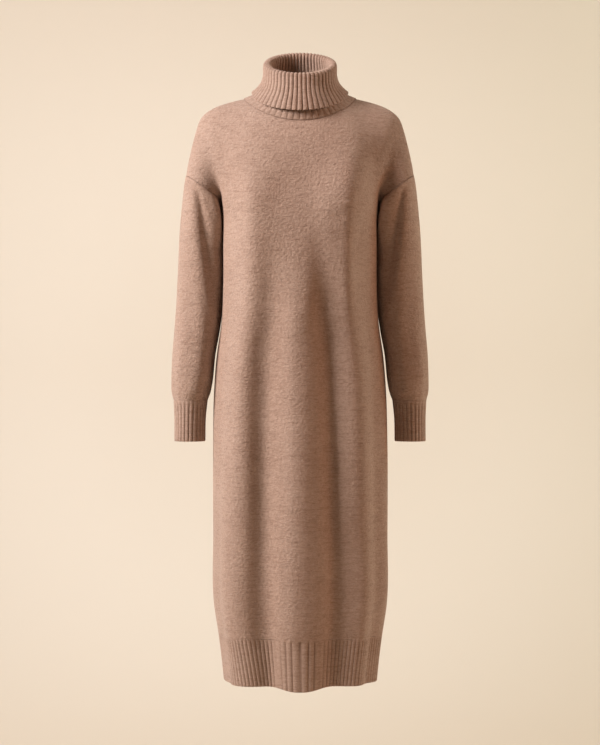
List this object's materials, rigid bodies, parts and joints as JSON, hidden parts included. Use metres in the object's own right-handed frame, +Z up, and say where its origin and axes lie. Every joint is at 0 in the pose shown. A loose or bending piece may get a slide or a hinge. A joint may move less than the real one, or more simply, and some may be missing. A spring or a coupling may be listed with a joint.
{
  "type": "sweater dress",
  "caption": "Long straight knitted sweater dress with a ribbed roll collar, dropped shoulders, long sleeves and ribbed cuffs and hem, hollow and filled out as worn.",
  "frame": {"origin": "midway between the two high shoulder points, where the dress hangs from its wearer", "axes": "+Z up, -Y out of the front of the dress, +X to the wearer's left"},
  "size_m": [0.5202, 0.2793, 1.2847],
  "materials": {
    "plain_knit": "matt heathered wool, plain knit, slightly brushed",
    "rib_knit": "matt heathered wool, ribbed knit"
  },
  "bodies": {
    "root": {"front": "plain_knit", "back": "plain_knit", "left_sleeve": "plain_knit", "right_sleeve": "plain_knit", "left_cuff": "rib_knit", "right_cuff": "rib_knit", "hem_rib_front": "rib_knit", "hem_rib_back": "rib_knit", "roll_collar": "rib_knit"}
  },
  "joints": []
}
